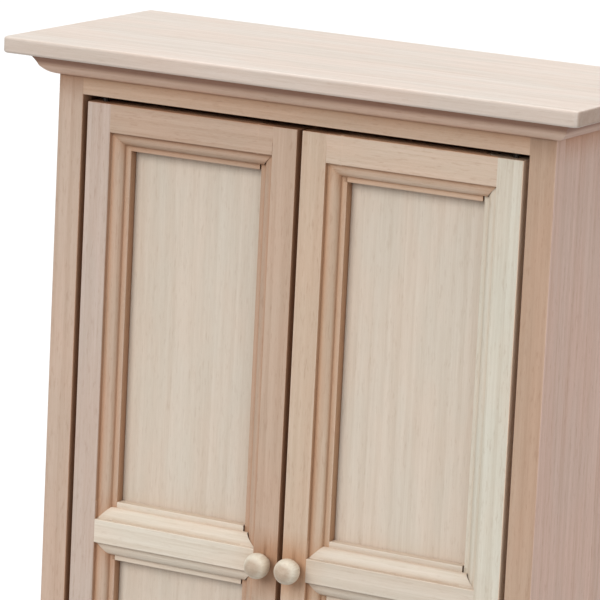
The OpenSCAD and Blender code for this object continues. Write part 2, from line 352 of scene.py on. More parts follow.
@dataclass
class WoodGroups:
    """The node groups that every bare wood shares, for its figure and for the shade painted on it, and the
    wood's figure.
    """

    streaks: Figure = Figure(across=0.9, along=0.018, detail=5.0, roughness=0.62, low=0.32, high=0.70)
    fibres: Figure = Figure(across=5.0, along=0.16, detail=3.0, roughness=0.7, low=0.30, high=0.72)
    flecks: Figure = Figure(across=2.6, along=0.42, detail=2.0, roughness=0.6, low=0.56, high=0.72)
    pores: Figure = Figure(across=11.0, along=0.9, detail=1.0, roughness=0.5, low=0.62, high=0.74)
    blotches: Figure = Figure(across=0.16, along=0.05, detail=3.0, roughness=0.5, low=0.35, high=0.65)
    ring_taper: float = 0.06
    ring_contrast: float = 1.6
    fibre_share: float = 0.25
    pore_share: float = 0.6
    roughness: float = 0.56
    roughness_spread: float = 0.14
    fibre_height: float = 0.6
    pore_depth: float = 0.5
    # Ambient occlusion samples, and the openness ranges, of the painted shade.
    shelter_samples: int = 6
    sheltered_range: tuple[float, float] = (0.78, 1.0)
    corner_range: tuple[float, float] = (0.25, 0.97)
    slit_range: tuple[float, float] = (0.05, 0.40)
    timber: bpy.types.NodeTree = field(init=False)
    painted_shade: bpy.types.NodeTree = field(init=False)

    def __post_init__(self) -> None:
        """Build the two groups."""
        self.timber = self._build_timber()
        self.painted_shade = self._build_painted_shade()

    def _build_timber(self) -> bpy.types.NodeTree:
        """Build the solid pattern of growth rings, streaks, fibres and pores.

        Returns:
            The group. Its vector is in millimetres, with the grain along Z.
        """
        colour, number, vector = "NodeSocketColor", "NodeSocketFloat", "NodeSocketVector"
        tree, w, given, out = new_group(
            "timber",
            [
                ("Vector", vector, None),
                ("Early", colour, (0.7, 0.6, 0.5, 1.0)),
                ("Late", colour, (0.5, 0.4, 0.3, 1.0)),
                ("Ring Scale", number, 0.2),
                ("Ring Share", number, 0.4),
                ("Streak Share", number, 0.5),
                ("Fleck Share", number, 0.3),
                ("Blotch Share", number, 0.25),
                ("End Grain And Front Shade", number, 0.0),
            ],
            [("Color", colour), ("Roughness", number), ("Height", number)],
        )
        place = given.outputs["Vector"]
        rings = w.add(
            "TexWave",
            {"wave_type": "RINGS", "rings_direction": "Z", "wave_profile": "SAW"},
            Vector=w.stretch(place, (1.0, 1.0, self.ring_taper)),
            Scale=given.outputs["Ring Scale"],
            Distortion=5.0,
            Detail=3.0,
            Detail_Scale=0.35,
            Detail_Roughness=0.55,
        )
        ring = w.math("POWER", rings.outputs["Fac"], self.ring_contrast)
        streak = self.streaks.draw(w, place)
        fibre = self.fibres.draw(w, place)
        fleck = self.flecks.draw(w, place)
        pore = self.pores.draw(w, place)
        blotch = self.blotches.draw(w, place)

        depth = w.math("MULTIPLY", ring, given.outputs["Ring Share"])
        depth = w.math("ADD", depth, w.math("MULTIPLY", streak, given.outputs["Streak Share"]))
        fibrous = w.math("MULTIPLY", w.math("SUBTRACT", fibre, 0.5), self.fibre_share)
        depth = w.math("ADD", depth, fibrous, clamp=True)
        base = w.mix("MIX", depth, given.outputs["Early"], given.outputs["Late"])
        warm = w.mix("MULTIPLY", 1.0, base, Tints.WARM_CAST.value)
        cool = w.mix("MULTIPLY", 1.0, base, Tints.COOL_CAST.value)
        tinted = w.mix("MIX", blotch, cool, warm)
        blotched = w.mix("MIX", given.outputs["Blotch Share"], base, tinted)
        dashes = w.math("MAXIMUM", fleck, w.math("MULTIPLY", pore, self.pore_share))
        dashes = w.math("MULTIPLY", dashes, given.outputs["Fleck Share"])
        flecked = w.mix("MULTIPLY", dashes, blotched, Tints.FLECK.value)
        # Darker on end grain, and painted shade on faces to the front.
        w.feed(out, "Color", w.mix("MULTIPLY", given.outputs["End Grain And Front Shade"], flecked, Tints.END_GRAIN_AND_FRONT_SHADE.value))

        rough = w.math("ADD", w.math("MULTIPLY", fibre, self.roughness_spread), self.roughness)
        w.feed(out, "Roughness", rough)
        raised = w.math("MULTIPLY", fibre, self.fibre_height)
        w.feed(out, "Height", w.math("SUBTRACT", raised, w.math("MULTIPLY", pore, self.pore_depth)))
        return tree

    def _paint_shade(
        self,
        w: Wiring,
        openness: bpy.types.NodeSocket,
        shown: tuple[float, float],
        strength: bpy.types.NodeSocket,
        colour: bpy.types.NodeSocket,
        tint: Tints,
    ) -> object:
        """Paint shade on a colour where the surface is hemmed in.

        Args:
            w: the group's wiring.
            openness: how open the surface lies, from 0 to 1.
            shown: the openness at which the painted shade is full, and that at which it ends.
            strength: how strong the painted shade is.
            colour: the colour under the painted shade.
            tint: what the painted shade multiplies the colour by.

        Returns:
            The shaded colour's socket.
        """
        full, end = shown
        amount = w.math("MULTIPLY", w.ramp(openness, full, end, 1.0, 0.0, "LINEAR"), strength)
        return w.mix("MULTIPLY", amount, colour, tint.value)

    def _build_painted_shade(self) -> bpy.types.NodeTree:
        """Build the painted shade: a warm darkening in a board's joints, steps and slits and near its
        neighbours, as deep as the surface is hemmed in.

        Returns:
            The group.
        """
        colour, number = "NodeSocketColor", "NodeSocketFloat"
        tree, w, given, out = new_group(
            "painted_shade",
            [
                ("Color", colour, (0.7, 0.6, 0.5, 1.0)),
                ("Narrow", number, 0.001),
                ("Wide", number, 0.004),
                ("Slit", number, 0.8),
                ("Corner", number, 0.25),
                ("Shelter Shade", number, 1.0),
            ],
            [("Color", colour)],
        )
        settings = {"samples": self.shelter_samples}
        wide = w.add("AmbientOcclusion", settings, Distance=given.outputs["Wide"]).outputs["AO"]
        narrow = w.add("AmbientOcclusion", settings, Distance=given.outputs["Narrow"]).outputs["AO"]
        shade = given.outputs["Color"]
        # The painted shade's three layers: near neighbours, in corners and in slits.
        for openness, shown, strength, tint in (
            (wide, self.sheltered_range, "Shelter Shade", Tints.SHELTER_SHADE),
            (narrow, self.corner_range, "Corner", Tints.CORNER_SHADE),
            (narrow, self.slit_range, "Slit", Tints.SLIT_SHADE),
        ):
            shade = self._paint_shade(w, openness, shown, given.outputs[strength], shade, tint)
        w.feed(out, "Color", shade)
        return tree


# The Wave texture makes this many rings in a length of tau, at a scale of 1
RINGS_IN_TAU = 20
# How squarely a face turns towards a direction when it starts to count as facing it, and when it counts fully
END_FACING = (0.55, 0.95)
FRONT_FACING = (0.45, 0.98)
RIGHT_FACING = (0.3, 0.9)


@dataclass(frozen=True)
class BareWood:
    """A finish: one bare, sanded board's tone, its grain and how strongly the grain shows.

    The shares say how much each layer of the figure shows. Slit, corner and shelter_shade say how strongly
    shade is painted in the board's slits, in its corners and near its neighbours, and narrow and wide how far
    off those are felt. Front_shade is how strongly shade is painted on faces to the front, and
    lit_right_faces is a paler tone painted as light on faces to the right. Under_slab_shadow holds the
    heights where the top board's painted shadow begins and is full. A moulding gets painted shade behind
    shaded_behind, which lies along the frame's Y.
    """

    tone: Woods
    grain: Grain
    seed: int
    ring_spacing: float = 2.2
    ring_share: float = 0.30
    streak_share: float = 0.45
    fleck_share: float = 0.30
    blotch_share: float = 0.35
    # How strongly shade is painted in slits, in corners and near neighbours, and how far off these are felt.
    slit: float = 0.8
    corner: float = 0.2
    shelter_shade: float = 1.0
    narrow: float = 0.9 * MM
    wide: float = 5.0 * MM
    # How strongly shade is painted on faces to the front.
    front_shade: float = 0.0
    # A paler tone painted as light on faces to the right.
    lit_right_faces: Woods | None = None
    # Heights where the top board's painted shadow begins and where it is full.
    under_slab_shadow: tuple[float, float] | None = None
    # Depth behind which a moulding gets painted shade, and how far that shade fades in.
    shaded_behind: float | None = None
    shade_fade: float = 0.3 * MM
    bump: float = 0.35
    bump_height: float = 0.05 * MM
    gloss: float = 0.35
    pith_right: tuple[float, float] = (14, 34)
    pith_back: tuple[float, float] = (-24, -12)
    pith_along: tuple[float, float] = (-400, 400)

    def end_grain_and_front_shade(self, w: Wiring, normal: bpy.types.NodeSocket) -> object:
        """Find where the surface cuts across the grain, and the faces to the front, where shade is painted.

        Args:
            w: the material's wiring.
            normal: the surface's own direction.

        Returns:
            A socket that is 1 on end grain, front_shade on faces to the front and 0 elsewhere.
        """
        split = w.add("SeparateXYZ", Vector=normal)
        along = split.outputs[tuple(Grain).index(self.grain)]
        end = w.ramp(w.math("ABSOLUTE", along), *END_FACING)
        front = w.ramp(w.math("ABSOLUTE", split.outputs["Y"]), *FRONT_FACING, 0.0, self.front_shade)
        return w.math("MAXIMUM", end, front)

    def seasons_and_lit_right(self, w: Wiring, normal: bpy.types.NodeSocket) -> tuple[object, object]:
        """Give the early and late wood's colours, and where the board has one, the paler tone painted as
        light on its faces to the right.

        Args:
            w: the material's wiring.
            normal: the surface's own direction.

        Returns:
            The colour or socket for the early wood, and that for the late wood.
        """
        if self.lit_right_faces is None:
            return self.tone.early(), self.tone.late()
        across = w.add("SeparateXYZ", Vector=normal).outputs["X"]
        rightward = w.ramp(across, *RIGHT_FACING)
        early = w.mix("MIX", rightward, self.tone.early(), self.lit_right_faces.early())
        return early, w.mix("MIX", rightward, self.tone.late(), self.lit_right_faces.late())

    def shadowed_under_slab(self, w: Wiring, colour: bpy.types.NodeSocket, place: bpy.types.NodeSocket) -> object:
        """Paint the shadow that the top board casts on the upper part of a board.

        Args:
            w: the material's wiring.
            colour: the wood's colour without that shadow.
            place: the Object coordinates.

        Returns:
            The colour's socket, unchanged for a board without the painted shadow.
        """
        if self.under_slab_shadow is None:
            return colour
        height = w.add("SeparateXYZ", Vector=place).outputs["Z"]
        return w.mix("MULTIPLY", w.ramp(height, *self.under_slab_shadow), colour, Tints.SLAB_SHADOW.value)

    def shaded_recess(self, w: Wiring, colour: bpy.types.NodeSocket, place: bpy.types.NodeSocket) -> object:
        """Paint shade on a moulding, where it lies deeper than shaded_behind.

        Args:
            w: the material's wiring.
            colour: the wood's colour without that shade.
            place: the Object coordinates.

        Returns:
            The colour's socket, unchanged for a board without painted shade on its moulding.
        """
        if self.shaded_behind is None:
            return colour
        depth = w.add("SeparateXYZ", Vector=place).outputs["Y"]
        recess_shade = w.ramp(depth, self.shaded_behind, self.shaded_behind + self.shade_fade)
        return w.mix("MULTIPLY", recess_shade, colour, Tints.RECESS_SHADE.value)

    def make(self, name: str, groups: WoodGroups) -> bpy.types.Material:
        """Build the material.

        Args:
            name: the material's name.
            groups: the shared node groups.

        Returns:
            The material.
        """
        material = bpy.data.materials.new(name)
        material.use_nodes = True
        w = Wiring(material.node_tree)
        draw = random.Random(self.seed)
        pith = tuple(draw.uniform(*limits) for limits in (self.pith_right, self.pith_back, self.pith_along))
        given = w.add("TexCoord")
        place = w.add(
            "Mapping",
            Vector=given.outputs["Object"],
            Scale=(1 / MM, 1 / MM, 1 / MM),
            Rotation=self.grain.value,
            Location=pith,
        )
        timber = w.add("Group", {"node_tree": groups.timber})
        early, late = self.seasons_and_lit_right(w, given.outputs["Normal"])
        for label, value in (
            ("Vector", place.outputs[0]),
            ("Early", early),
            ("Late", late),
            ("Ring Scale", math.tau / RINGS_IN_TAU / self.ring_spacing),
            ("Ring Share", self.ring_share),
            ("Streak Share", self.streak_share),
            ("Fleck Share", self.fleck_share),
            ("Blotch Share", self.blotch_share),
            ("End Grain And Front Shade", self.end_grain_and_front_shade(w, given.outputs["Normal"])),
        ):
            w.feed(timber, label, value)
        # Painted shade on the deeper parts of a moulding.
        recess_shade = self.shaded_recess(w, timber.outputs["Color"], given.outputs["Object"])
        # Painted shade, darker where the surface is hemmed in: in joints, slits, corners and near neighbours.
        painted_shade = w.add("Group", {"node_tree": groups.painted_shade}, Color=recess_shade)
        for label, value in (
            ("Narrow", self.narrow),
            ("Wide", self.wide),
            ("Slit", self.slit),
            ("Corner", self.corner),
            ("Shelter Shade", self.shelter_shade),
        ):
            w.feed(painted_shade, label, value)
        bump = w.add("Bump", Strength=self.bump, Distance=self.bump_height, Height=timber.outputs["Height"])
        shader = w.add(
            "BsdfPrincipled",
            Base_Color=self.shadowed_under_slab(w, painted_shade.outputs["Color"], given.outputs["Object"]),
            Roughness=timber.outputs["Roughness"],
            Specular_IOR_Level=self.gloss,
            Normal=bump.outputs["Normal"],
        )
        w.add("OutputMaterial", Surface=shader.outputs[0])
        return material


@dataclass(frozen=True)
class DrawnSteel:
    """A finish: dull steel wire with fine drawing lines along it."""

    colour: Colour = (0.13, 0.12, 0.11)
    tarnish: Colour = (0.05, 0.042, 0.038)
    tarnish_pitch: float = 0.9
    tarnish_range: tuple[float, float] = (0.38, 0.66)
    line_pitch: Stretch = (14.0, 14.0, 0.4)
    roughness: float = 0.38
    roughness_spread: float = 0.3
    bump: float = 0.25
    bump_height: float = 0.02 * MM

    def make(self, name: str) -> bpy.types.Material:
        """Build the material.

        Args:
            name: the material's name.

        Returns:
            The material.
        """
        material = bpy.data.materials.new(name)
        material.use_nodes = True
        w = Wiring(material.node_tree)
        given = w.add("TexCoord").outputs["Object"]
        place = w.add("Mapping", Vector=given, Scale=(1 / MM, 1 / MM, 1 / MM)).outputs[0]
        lines = w.add("TexNoise", Vector=w.stretch(place, self.line_pitch), Scale=1.0, Detail=3.0)
        patches = w.add("TexNoise", Vector=place, Scale=self.tarnish_pitch, Detail=4.0)
        worn = w.ramp(patches.outputs["Fac"], *self.tarnish_range)
        rough = w.math("MULTIPLY_ADD", lines.outputs["Fac"], self.roughness_spread)
        w.feed(rough.node, 2, self.roughness)
        bump = w.add("Bump", Strength=self.bump, Distance=self.bump_height, Height=lines.outputs["Fac"])
        shader = w.add(
            "BsdfPrincipled",
            Base_Color=w.mix("MIX", worn, self.colour, self.tarnish),
            Metallic=1.0,
            Roughness=rough,
            Normal=bump.outputs["Normal"],
        )
        w.add("OutputMaterial", Surface=shader.outputs[0])
        return material


# --------------------------------------------------------------------------- pieces


@dataclass
class Joinery:
    """Knows where the frame's boards touch, so that sandpaper reaches only their free edges.

    The probe is how far off an edge a neighbour is looked for. Two boards closer than reach touch, and a
    corner closer than knife to a dividing line lies on it.
    """

    probe: float = 0.06 * MM
    reach: float = 0.05 * MM
    knife: float = 0.0006 * MM
    inset_parts: tuple[str, ...] = ("_panel", "_knob", "_pin")
    solids: dict[str, BVHTree] = field(default_factory=dict)

    def solid(self, node: str) -> BVHTree:
        """Give the search tree of a node's surface.

        Args:
            node: the node's name.

        Returns:
            Its tree, built the first time it is asked for.
        """
        if node not in self.solids:
            mesh = FRAME["nodes"][node].data
            corners = [vertex.co.copy() for vertex in mesh.vertices]
            faces = [tuple(face.vertices) for face in mesh.polygons]
            self.solids[node] = BVHTree.FromPolygons(corners, faces)
        return self.solids[node]

    def neighbours(self, node: str) -> list[str]:
        """List the nodes whose boxes touch a node's box.

        Args:
            node: the node's name.

        Returns:
            The other nodes' names.
        """
        low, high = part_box(node)
        found = []
        for other in FRAME["nodes"]:
            if other == node:
                continue
            other_low, other_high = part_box(other)
            apart = (max(low[i] - other_high[i], other_low[i] - high[i]) for i in range(3))
            if max(apart) < self.reach:
                found.append(other)
        return found

    def fills(self, node: str, point: Vector) -> bool:
        """Say whether a node's solid fills a point.

        Args:
            node: the node's name.
            point: the point, in the frame.

        Returns:
            True inside the solid.
        """
        low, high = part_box(node)
        if any(point[i] < low[i] or point[i] > high[i] for i in range(3)):
            return False
        spot, normal, _, _ = self.solid(node).find_nearest(point)
        return (point - spot).dot(normal) < 0.0

    def is_free(self, edge: bmesh.types.BMEdge, others: list[str]) -> bool:
        """Say whether an edge lies outside every joint.

        Args:
            edge: an edge of a board, between two faces.
            others: the boards that touch it.

        Returns:
            True if no other board meets either face along the edge.
        """
        middle = (edge.verts[0].co + edge.verts[1].co) / 2
        first, second = (face.normal for face in edge.link_faces)
        points = [middle + (first - second) * self.probe, middle + (second - first) * self.probe]
        return not any(self.fills(other, point) for other in others for point in points)

    def mark_out(self, shape: bmesh.types.BMesh, node: str, others: list[str]) -> None:
        """Divide a board's long edges where its neighbours begin and end.

        Args:
            shape: the board's shape, which gains the dividing lines.
            node: the board's node.
            others: the boards that touch it.
        """
        low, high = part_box(node)
        size = high - low
        axis = max(range(3), key=lambda i: size[i])
        crossing = [other for other in others if not other.endswith(self.inset_parts)]
        marks = sorted({round(corner[axis], 6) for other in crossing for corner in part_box(other)})
        direction = Vector([float(i == axis) for i in range(3)])
        for mark in marks:
            if low[axis] + self.reach < mark < high[axis] - self.reach:
                everything = shape.verts[:] + shape.edges[:] + shape.faces[:]
                bmesh.ops.bisect_plane(
                    shape, geom=everything, dist=self.knife, plane_co=direction * mark, plane_no=direction
                )


@dataclass
class Workshop:
    """Makes finished pieces from nodes of the frame and keeps count of them.

    Points closer than weld are joined. Corners of less than the flat angle are dissolved, those of more
    than the arris angle are eased where they are longer than the shortest arris, and those of more than the
    crease angle are shaded sharp.
    """

    groups: WoodGroups = field(default_factory=WoodGroups)
    joinery: Joinery = field(default_factory=Joinery)
    steel: bpy.types.Material = field(default_factory=lambda: DrawnSteel().make("drawn_steel"))
    weld: float = 0.001 * MM
    flat_angle: float = math.radians(0.5)
    arris_angle: float = math.radians(35)
    crease_angle: float = math.radians(32)
    shortest_arris: float = 1.5 * MM
    flat_weight: int = 80
    pieces: list[str] = field(default_factory=list)

    def enter(self, piece: bpy.types.Object, node: str, material: bpy.types.Material) -> bpy.types.Object:
        """Give a piece its material and its place on the frame.

        Args:
            piece: the finished object.
            node: the node that it stands for.
            material: its finish.

        Returns:
            The same object.
        """
        piece.data.materials.clear()
        piece.data.materials.append(material)
        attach(piece, body_of(node))
        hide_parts(node)
        self.pieces.append(piece.name)
        LOG.info("%-34s %5d faces, on %s", piece.name, len(piece.data.polygons), body_of(node))
        return piece

    def from_bmesh(self, shape: bmesh.types.BMesh, name: str) -> bpy.types.Object:
        """Turn a finished bmesh into an object at the origin.

        Args:
            shape: the bmesh, which is freed.
            name: the object's name.

        Returns:
            The new object.
        """
        mesh = bpy.data.meshes.new(name)
        shape.to_mesh(mesh)
        shape.free()
        shade_by_angle(mesh, self.crease_angle)
        piece = bpy.data.objects.new(name, mesh)
        bpy.context.scene.collection.objects.link(piece)
        levelled = piece.modifiers.new("levelled_normals", "WEIGHTED_NORMAL")
        levelled.keep_sharp = True
        levelled.weight = self.flat_weight
        return piece

    def ease(self, shape: bmesh.types.BMesh, node: str, arris: float) -> None:
        """Sand the free arrises of a board.

        Args:
            shape: the board's shape, which is changed.
            node: the board's node.
            arris: how far the sandpaper takes each edge back.
        """
        others = self.joinery.neighbours(node)
        self.joinery.mark_out(shape, node, others)
        arrises = [
            edge
            for edge in shape.edges
            if edge.calc_face_angle_signed() > self.arris_angle
            and edge.calc_length() > self.shortest_arris
            and self.joinery.is_free(edge, others)
        ]
        bmesh.ops.bevel(
            shape,
            geom=arrises,
            offset=arris,
            offset_type="OFFSET",
            affect="EDGES",
            segments=3,
            profile=0.5,
            material=-1,
            clamp_overlap=True,
        )

    def board(self, node: str, wood: BareWood, arris: float = 0.18 * MM) -> bpy.types.Object:
        """Make a board from a node: its shape in the frame, with every free outer edge eased.

        Args:
            node: the node's name.
            wood: the board's finish.
            arris: how far the sandpaper has taken each edge back, 0 to leave them as the plane cut them.

        Returns:
            The finished piece.
        """
        shape = bmesh.new()
        shape.from_mesh(FRAME["nodes"][node].data)
        bmesh.ops.remove_doubles(shape, verts=shape.verts, dist=self.weld)
        bmesh.ops.dissolve_limit(shape, angle_limit=self.flat_angle, verts=shape.verts, edges=shape.edges)
        if arris > 0.0:
            self.ease(shape, node, arris)
        piece = self.from_bmesh(shape, node + "_board")
        return self.enter(piece, node, wood.make(node + "_wood", self.groups))

    def turned(self, name: str, outline: Outline, axis: Matrix, steps: int) -> bpy.types.Object:
        """Turn an outline on the lathe.

        Args:
            name: the object's name.
            outline: (radius, distance along the axis) points, from one end's middle to the other's.
            axis: where the lathe's Z axis lies in the frame.
            steps: number of facets round the piece.

        Returns:
            The new object.
        """
        shape = bmesh.new()
        points = [shape.verts.new((radius, 0.0, along)) for radius, along in outline]
        edges = [shape.edges.new(pair) for pair in zip(points, points[1:])]
        bmesh.ops.spin(
            shape,
            geom=points + edges,
            cent=(0, 0, 0),
            axis=(0, 0, 1),
            dvec=(0, 0, 0),
            angle=math.tau,
            steps=steps,
            use_merge=True,
            use_duplicate=False,
        )
        bmesh.ops.remove_doubles(shape, verts=shape.verts, dist=self.weld)
        bmesh.ops.transform(shape, matrix=axis, verts=shape.verts)
        bmesh.ops.recalc_face_normals(shape, faces=shape.faces)
        return self.from_bmesh(shape, name)


# --------------------------------------------------------------------------- sub-assemblies


@dataclass
class TopAndCornice:
    """The overhanging top board and the cornice strip under it."""

    shop: Workshop
    corner: float = 1.2 * MM
    arris: float = 0.5 * MM
    shadow_begins: float = 1.4 * MM
    shadow_full: float = 2.5 * MM

    def is_level(self, edge: bmesh.types.BMEdge) -> bool:
        """Say whether an edge of the top board lies level."""
        return abs(edge.verts[0].co.z - edge.verts[1].co.z) < self.arris

    def top_board(self) -> bpy.types.Object:
        """Cut the top board: a slab with its front corners and its front and end arrises rounded over.

        Returns:
            The slab, without its finish.
        """
        low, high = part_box("top_board")
        middle = (low + high) / 2
        size = Matrix.Diagonal((*(high - low), 1.0))
        shape = bmesh.new()
        bmesh.ops.create_cube(shape, size=1.0, matrix=Matrix.Translation(middle) @ size)
        corners = [e for e in shape.edges if not self.is_level(e) and e.verts[0].co.y < middle.y]
        bmesh.ops.bevel(
            shape, geom=corners, offset=self.corner, affect="EDGES", segments=8, profile=0.5, material=-1
        )
        rims = [
            e
            for e in shape.edges
            if self.is_level(e)
            and min(v.co.y for v in e.verts) < high.y - self.arris
            and abs(e.calc_face_angle_signed()) > self.shop.arris_angle
        ]
        bmesh.ops.bevel(
            shape, geom=rims, offset=self.arris, affect="EDGES", segments=6, profile=0.5, material=-1
        )
        return self.shop.from_bmesh(shape, "top_board_slab")

    def build(self) -> None:
        """Make the top board and the cornice's three runs."""
        # The top board's faces to the front get painted shade.
        wood = BareWood(
            Woods.TOP, Grain.ALONG_X, 11, ring_share=0.2, streak_share=0.45, fleck_share=0.16, front_shade=0.5
        )
        self.shop.enter(self.top_board(), "top_board", wood.make("top_board_wood", self.shop.groups))
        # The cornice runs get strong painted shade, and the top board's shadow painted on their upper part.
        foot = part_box("cornice_front")[0].z
        under_slab_shadow = (foot + self.shadow_begins, foot + self.shadow_full)
        shaded = {"corner": 1.5, "narrow": 2.6 * MM, "shelter_shade": 0.5, "under_slab_shadow": under_slab_shadow}
        runs = {
            "cornice_front": BareWood(Woods.BLUSH, Grain.ALONG_X, 12, **shaded),
            "cornice_left": BareWood(Woods.OAT, Grain.ALONG_Y, 13, **shaded),
            "cornice_right": BareWood(Woods.SIDE, Grain.ALONG_Y, 14, **shaded),
        }
        for node, wood in runs.items():
            self.shop.board(node, wood, arris=0.0)


@dataclass
class Case:
    """The boards of the case: sides, back, floor and the plinth round its foot."""

    shop: Workshop

    def build(self) -> None:
        """Make the case boards and the plinth."""
        side = {"ring_share": 0.34, "streak_share": 0.55}
        self.shop.board("side_panel_left", BareWood(Woods.SIDE, Grain.ALONG_Z, 21, **side))
        self.shop.board("side_panel_right", BareWood(Woods.SIDE, Grain.ALONG_Z, 22, **side))
        self.shop.board("back_panel", BareWood(Woods.INSIDE, Grain.ALONG_Z, 23))
        self.shop.board("floor_board", BareWood(Woods.INSIDE, Grain.ALONG_X, 24))
        plinth = {
            "plinth_front": BareWood(Woods.HONEY, Grain.ALONG_X, 25, shelter_shade=0.4),
            "plinth_left": BareWood(Woods.OAT, Grain.ALONG_Y, 26, shelter_shade=0.4),
            "plinth_right": BareWood(Woods.SIDE, Grain.ALONG_Y, 27, shelter_shade=0.4),
        }
        for node, wood in plinth.items():
            self.shop.board(node, wood, arris=0.0)


@dataclass
class FaceFrame:
    """The frame round the doors."""

    shop: Workshop

    def build(self) -> None:
        """Make the two stiles and the two rails."""
        # The right stile's faces to the right get a paler tone, painted as light.
        umber = BareWood(
            Woods.UMBER, Grain.ALONG_Z, 32, slit=0.0, corner=0.0, shelter_shade=0.4, lit_right_faces=Woods.SIDE
        )
        self.shop.board("face_stile_left", BareWood(Woods.OAT, Grain.ALONG_Z, 31))
        self.shop.board("face_stile_right", umber)
        self.shop.board("face_rail_top", BareWood(Woods.HONEY, Grain.ALONG_X, 33))
        self.shop.board("face_rail_bottom", BareWood(Woods.HONEY, Grain.ALONG_X, 34))


@dataclass
class Interior:
    """What the doors hide: the hat shelf on its cleats, the hanging rail and the door stop."""

    shop: Workshop

    def build(self) -> None:
        """Make the fittings."""
        self.shop.board("hat_shelf", BareWood(Woods.INSIDE, Grain.ALONG_X, 41))
        self.shop.board("shelf_cleat_left", BareWood(Woods.INSIDE, Grain.ALONG_Y, 42))
        self.shop.board("shelf_cleat_right", BareWood(Woods.INSIDE, Grain.ALONG_Y, 43))
        self.shop.board("door_stop", BareWood(Woods.INSIDE, Grain.ALONG_X, 44))
        self.shop.board("hanging_rail", BareWood(Woods.KNOB, Grain.ALONG_X, 45))
        self.shop.board("rail_socket_left", BareWood(Woods.HAZEL, Grain.ALONG_Z, 46))
        self.shop.board("rail_socket_right", BareWood(Woods.HAZEL, Grain.ALONG_Z, 47))


@dataclass
class TurnedKnob:
    """A ball knob on a short neck, turned in one with its spigot.

    The shares are radii, as parts of the ball's own, and the flares are radii as parts of the neck's.
    """

    shop: Workshop
    door: str
    seed: int
    steps: int = 64
    spigot_share: float = 0.4
    spigot_end_share: float = 0.34
    spigot_taper: float = 0.2 * MM
    neck_share: float = 0.46
    neck_height: float = 0.24 * MM
    foot_flare: float = 1.12
    bead_flare: float = 1.16
    bead_height: float = 0.08 * MM
    ball_points: int = 40

    def outline(self, ball: float, reach: float, spigot: float) -> Outline:
        """Work out the knob's outline, from the spigot's end to the front of the ball.

        Args:
            ball: radius of the ball.
            reach: distance from the door's face to the middle of the ball.
            spigot: length of the spigot behind the face.

        Returns:
            (radius, distance in front of the face) points.
        """
        shank = ball * self.spigot_share
        neck = ball * self.neck_share
        points = [
            (0.0, -spigot),
            (ball * self.spigot_end_share, -spigot),
            (shank, -spigot + self.spigot_taper),
            (shank, 0.0),
            (neck * self.foot_flare, 0.0),
            (neck * self.bead_flare, self.bead_height),
            (neck, self.neck_height),
        ]
        sweep = math.pi - math.asin(self.neck_share)
        for i in range(self.ball_points + 1):
            angle = sweep - sweep * i / self.ball_points
            points.append((max(0.0, ball * math.sin(angle)), reach + ball * math.cos(angle)))
        return points

    def build(self) -> None:
        """Make the knob."""
        node = self.door + "_knob"
        low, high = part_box(node)
        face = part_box(self.door + "_meeting_stile")[0].y
        ball = (high.x - low.x) / 2
        middle = Vector(((low.x + high.x) / 2, face, (low.z + high.z) / 2))
        axis = Matrix.Translation(middle) @ Matrix.Rotation(math.radians(90), 4, "X")
        reach = face - low.y - ball
        outline = self.outline(ball, reach, high.y - face)
        piece = self.shop.turned(node + "_turned", outline, axis, self.steps)
        wood = BareWood(
            Woods.KNOB, Grain.ALONG_Y, self.seed, ring_spacing=1.2, slit=0.4, corner=0.15, shelter_shade=0.4
        )
        self.shop.enter(piece, node, wood.make(node + "_wood", self.shop.groups))


@dataclass
class HingePin:
    """A length of steel wire with its ends filed round."""

    shop: Workshop
    node: str
    steps: int = 24
    end_rounding: float = 0.18 * MM
    bulge_share: float = 0.3

    def build(self) -> None:
        """Make the pin."""
        low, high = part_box(self.node)
        radius = (high.x - low.x) / 2
        length = high.z - low.z
        r = self.end_rounding
        bulge = self.bulge_share * r
        foot = [(0.0, 0.0), (radius - r, 0.0), (radius - bulge, bulge), (radius, r)]
        outline = foot + [(across, length - along) for across, along in reversed(foot)]
        axis = Matrix.Translation(((low.x + high.x) / 2, (low.y + high.y) / 2, low.z))
        piece = self.shop.turned(self.node + "_wire", outline, axis, self.steps)
        self.shop.enter(piece, self.node, self.shop.steel)


@dataclass
class PanelledDoor:
    """One framed door: two stiles, three rails, two panels, its knob and its two hinge pins."""

    shop: Workshop
    door: str
    seed: int
    hinge_stile: BareWood
    meeting_stile: BareWood
    end_rails: Woods
    middle_rail: Woods

    def build(self) -> None:
        """Make the door's pieces."""
        rail = BareWood(self.end_rails, Grain.ALONG_X, self.seed + 2)
        middle = BareWood(
            self.middle_rail, Grain.ALONG_X, self.seed + 3, fleck_share=0.2, corner=0.1, shelter_shade=0.35
        )
        panel = BareWood(
            Woods.PANEL,
            Grain.ALONG_Z,
            self.seed + 5,
            ring_share=0.2,
            streak_share=0.35,
            fleck_share=0.22,
            corner=0.1,
            shelter_shade=0.1,
        )
        woods = {
            "hinge_stile": self.hinge_stile,
            "meeting_stile": self.meeting_stile,
            "top_rail": rail,
            "mid_rail": middle,
            "bottom_rail": replace(rail, seed=rail.seed + 2),
            "upper_panel": panel,
            "lower_panel": replace(panel, seed=panel.seed + 1),
        }
        for part, wood in woods.items():
            self.shop.board(f"{self.door}_{part}", wood)
        TurnedKnob(self.shop, self.door, self.seed + 20).build()
        for end in ("top", "bottom"):
            HingePin(self.shop, f"{self.door}_{end}_pin").build()


# --------------------------------------------------------------------------- studio


